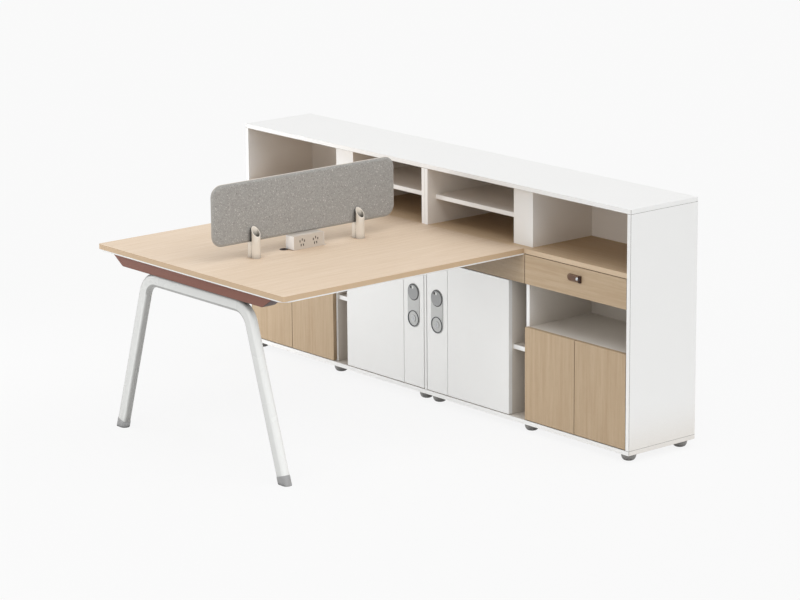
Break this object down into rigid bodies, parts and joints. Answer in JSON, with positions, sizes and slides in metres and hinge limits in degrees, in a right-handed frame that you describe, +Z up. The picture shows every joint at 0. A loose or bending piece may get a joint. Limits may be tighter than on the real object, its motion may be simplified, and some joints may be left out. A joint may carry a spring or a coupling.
{
  "type": "l-shaped office desk",
  "caption": "Shared oak desk set at right angles to a long white and oak storage cabinet, with a low fabric screen, a power unit and a splayed white leg frame.",
  "frame": {"origin": "on the floor, at the middle of the bounding box seen from above", "axes": "+X along the cabinet to its right end seen from the desk, +Y from the desk's free end to the cabinet's back, +Z up"},
  "size_m": [2.4, 1.56, 1.055],
  "materials": {
    "white_board": "white melamine facing on chipboard",
    "oak_board": "light oak facing, satin",
    "white_steel": "white powder coat, satin",
    "terracotta_steel": "terracotta powder coat",
    "cream_steel": "cream powder coat",
    "steel": "zinc plated",
    "chrome": "polished",
    "grey_plastic": "dark grey moulding",
    "light_grey_plastic": "light grey moulding",
    "white_plastic": "white moulding",
    "grey_fabric": "mottled grey weave",
    "brown_leather": "brown strap leather"
  },
  "bodies": {
    "workstation": {"top_board": "white_board", "left_end_panel": "white_board", "right_end_panel": "white_board", "left_centre_panel": "white_board", "right_centre_panel": "white_board", "left_bottom_panel": "white_board", "right_bottom_panel": "white_board", "left_counter": "oak_board", "right_counter": "oak_board", "partitions": "white_board", "locker_sides": "white_board", "left_riser": "white_board", "right_riser": "white_board", "left_back_panel": "white_board", "right_back_panel": "white_board", "centre_strip": "white_board", "desk_fascia": "oak_board", "bay_shelves": "white_board", "niche_shelves": "white_board", "hutch_shelves": "white_board", "locker_shelves": "white_board", "shelf_pins": "steel", "cabinet_feet": "grey_plastic", "hinge_arms": "steel", "carcass_slides": "steel", "desk_top": "oak_board", "desk_liner": "white_board", "end_beam": "terracotta_steel", "leg_frame": "white_steel", "leg_caps": "grey_plastic", "desk_rails": "white_steel", "desk_brackets": "steel", "screen_panel": "grey_fabric", "front_screen_post": "cream_steel", "rear_screen_post": "cream_steel", "post_bolts": "steel", "power_housing": "white_plastic", "power_outlets": "white_plastic", "cable_grommet": "grey_plastic"},
    "left_outer_leaf": {"left_outer_door": "oak_board"},
    "left_inner_leaf": {"left_inner_door": "oak_board"},
    "left_locker_leaf": {"left_locker_door": "white_board"},
    "left_access_leaf": {"left_access_door": "white_board", "left_lock_plate": "light_grey_plastic"},
    "left_finger_pull": {"left_pull_disc": "grey_plastic"},
    "left_cam_lock": {"left_lock_plug": "chrome"},
    "left_drawer": {"left_drawer_front": "oak_board", "left_drawer_box": "white_board", "left_drawer_pull": "brown_leather"},
    "right_outer_leaf": {"right_outer_door": "oak_board"},
    "right_inner_leaf": {"right_inner_door": "oak_board"},
    "right_locker_leaf": {"right_locker_door": "white_board"},
    "right_access_leaf": {"right_access_door": "white_board", "right_lock_plate": "light_grey_plastic"},
    "right_finger_pull": {"right_pull_disc": "grey_plastic"},
    "right_cam_lock": {"right_lock_plug": "chrome"},
    "right_drawer": {"right_drawer_front": "oak_board", "right_drawer_box": "white_board", "right_drawer_pull": "brown_leather"}
  },
  "joints": [
    {"name": "left_outer_door_hinge", "type": "hinge", "parent": "workstation", "child": "left_outer_leaf", "pos_m": [-1.179, 0.42, 0.241], "axis": [0, 0, -1], "range_deg": [0, 95]},
    {"name": "left_inner_door_hinge", "type": "hinge", "parent": "workstation", "child": "left_inner_leaf", "pos_m": [-0.6075, 0.42, 0.241], "axis": [0, 0, 1], "range_deg": [0, 95]},
    {"name": "left_locker_door_hinge", "type": "hinge", "parent": "workstation", "child": "left_locker_leaf", "pos_m": [-0.512, 0.42, 0.328], "axis": [0, 0, -1], "range_deg": [0, 95]},
    {"name": "left_access_door_hinge", "type": "hinge", "parent": "workstation", "child": "left_access_leaf", "pos_m": [-0.011, 0.42, 0.328], "axis": [0, 0, 1], "range_deg": [0, 90]},
    {"name": "left_finger_pull_tilt", "type": "hinge", "parent": "left_access_leaf", "child": "left_finger_pull", "pos_m": [-0.074, 0.423, 0.45], "axis": [-1, 0, 0], "range_deg": [0, 9]},
    {"name": "left_cam_lock_turn", "type": "hinge", "parent": "left_access_leaf", "child": "left_cam_lock", "pos_m": [-0.074, 0.42, 0.338], "axis": [0, 1, 0], "range_deg": [0, 90]},
    {"name": "left_drawer_slide", "type": "slide", "parent": "workstation", "child": "left_drawer", "axis": [0, -1, 0], "range_m": [0, 0.25]},
    {"name": "right_outer_door_hinge", "type": "hinge", "parent": "workstation", "child": "right_outer_leaf", "pos_m": [1.179, 0.42, 0.241], "axis": [0, 0, 1], "range_deg": [0, 95]},
    {"name": "right_inner_door_hinge", "type": "hinge", "parent": "workstation", "child": "right_inner_leaf", "pos_m": [0.6075, 0.42, 0.241], "axis": [0, 0, -1], "range_deg": [0, 95]},
    {"name": "right_locker_door_hinge", "type": "hinge", "parent": "workstation", "child": "right_locker_leaf", "pos_m": [0.512, 0.42, 0.328], "axis": [0, 0, 1], "range_deg": [0, 95]},
    {"name": "right_access_door_hinge", "type": "hinge", "parent": "workstation", "child": "right_access_leaf", "pos_m": [0.011, 0.42, 0.328], "axis": [0, 0, -1], "range_deg": [0, 90]},
    {"name": "right_finger_pull_tilt", "type": "hinge", "parent": "right_access_leaf", "child": "right_finger_pull", "pos_m": [0.074, 0.423, 0.45], "axis": [-1, 0, 0], "range_deg": [0, 9]},
    {"name": "right_cam_lock_turn", "type": "hinge", "parent": "right_access_leaf", "child": "right_cam_lock", "pos_m": [0.074, 0.42, 0.338], "axis": [0, -1, 0], "range_deg": [0, 90]},
    {"name": "right_drawer_slide", "type": "slide", "parent": "workstation", "child": "right_drawer", "axis": [0, -1, 0], "range_m": [0, 0.25]}
  ]
}
